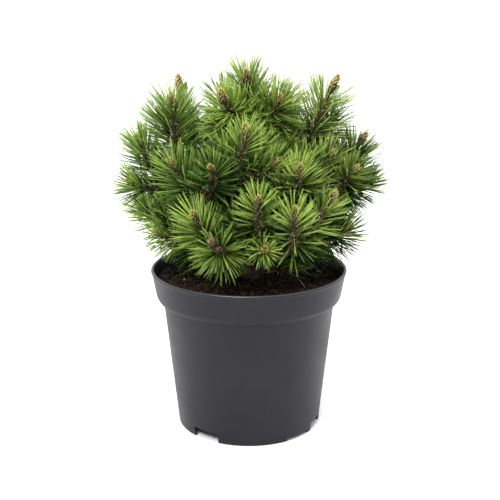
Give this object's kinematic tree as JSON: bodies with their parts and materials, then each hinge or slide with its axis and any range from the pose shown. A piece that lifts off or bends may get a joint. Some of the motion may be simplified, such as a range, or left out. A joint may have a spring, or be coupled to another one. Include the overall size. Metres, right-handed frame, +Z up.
{
  "type": "mugo pine in a nursery pot",
  "caption": "Young mugo pine, low and bushy, with upright candle buds and paired needles, growing in a round plastic nursery pot of peat.",
  "frame": {"origin": "middle of the flat underside of the pot, on the ground", "axes": "+Z up along the pot's axis and the trunk; -Y towards the front, +X to the right"},
  "size_m": [0.2647, 0.2379, 0.3625],
  "materials": {
    "pot": "satin charcoal moulded plastic",
    "soil": "loose damp peat",
    "bark": "rough grey-brown bark",
    "needles": "fresh green pine needles, soft gloss"
  },
  "bodies": {
    "root": {"pot": "pot", "potting_soil": "soil", "trunk": "bark", "bough_front_left": "bark", "bough_front_middle": "bark", "bough_front_right": "bark", "bough_right_low": "bark", "bough_right": "bark", "bough_left_low": "bark", "bough_left": "bark", "bough_centre_left": "bark", "bough_centre_right": "bark", "bough_centre": "bark", "bough_upper_left": "bark", "bough_upper_right": "bark", "bough_back_right_low": "bark", "bough_back_middle_low": "bark", "bough_back_left_low": "bark", "bough_back_right": "bark", "bough_back_left": "bark", "bough_back_upper": "bark", "foliage_front_left": "needles", "foliage_front_middle": "needles", "foliage_front_right": "needles", "foliage_right_low": "needles", "foliage_right": "needles", "foliage_left_low": "needles", "foliage_left": "needles", "foliage_centre_left": "needles", "foliage_centre_right": "needles", "foliage_centre": "needles", "foliage_upper_left": "needles", "foliage_upper_right": "needles", "foliage_crown_top": "needles", "foliage_back_right_low": "needles", "foliage_back_middle_low": "needles", "foliage_back_left_low": "needles", "foliage_back_right": "needles", "foliage_back_left": "needles", "foliage_back_upper": "needles"}
  },
  "joints": []
}
